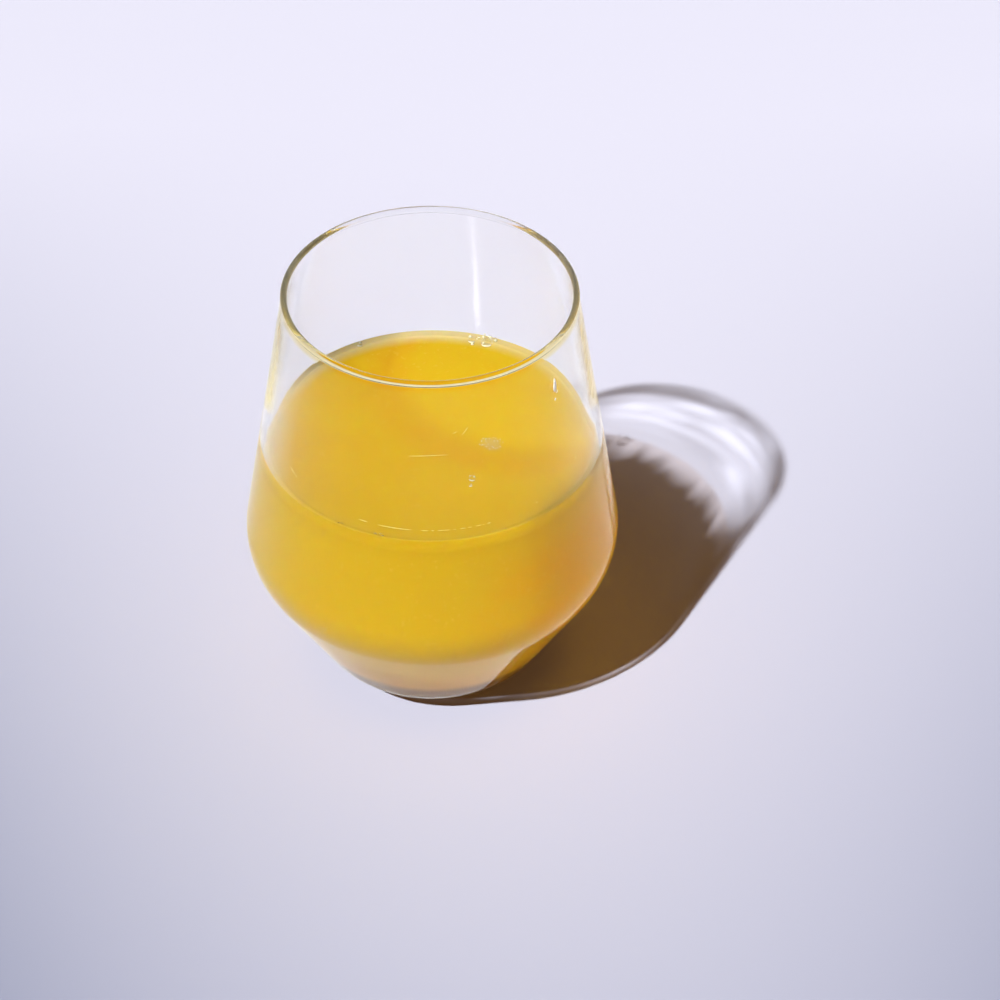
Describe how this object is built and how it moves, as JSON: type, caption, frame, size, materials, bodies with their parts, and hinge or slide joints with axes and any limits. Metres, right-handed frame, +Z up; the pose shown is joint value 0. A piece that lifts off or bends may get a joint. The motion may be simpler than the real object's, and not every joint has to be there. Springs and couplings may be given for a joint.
{
  "type": "glass of orange juice",
  "caption": "Stemless tumbler with walls that narrow to the rim and to a rounded foot, partly filled with orange juice.",
  "frame": {"origin": "middle of the flat that the glass stands on", "axes": "+Z up along the axis of the glass; the glass is round, so X and Y have no direction of their own"},
  "size_m": [0.095, 0.095, 0.115],
  "materials": {
    "clear_glass": "clear blown glass, fire-polished, with a faint olive tint where it is seen edge-on at the lip",
    "orange_juice": "opaque golden yellow liquid with a smooth wet surface, a little deeper and more orange towards the middle and the foot"
  },
  "bodies": {
    "root": {"glass": "clear_glass", "juice": "orange_juice"}
  },
  "joints": []
}
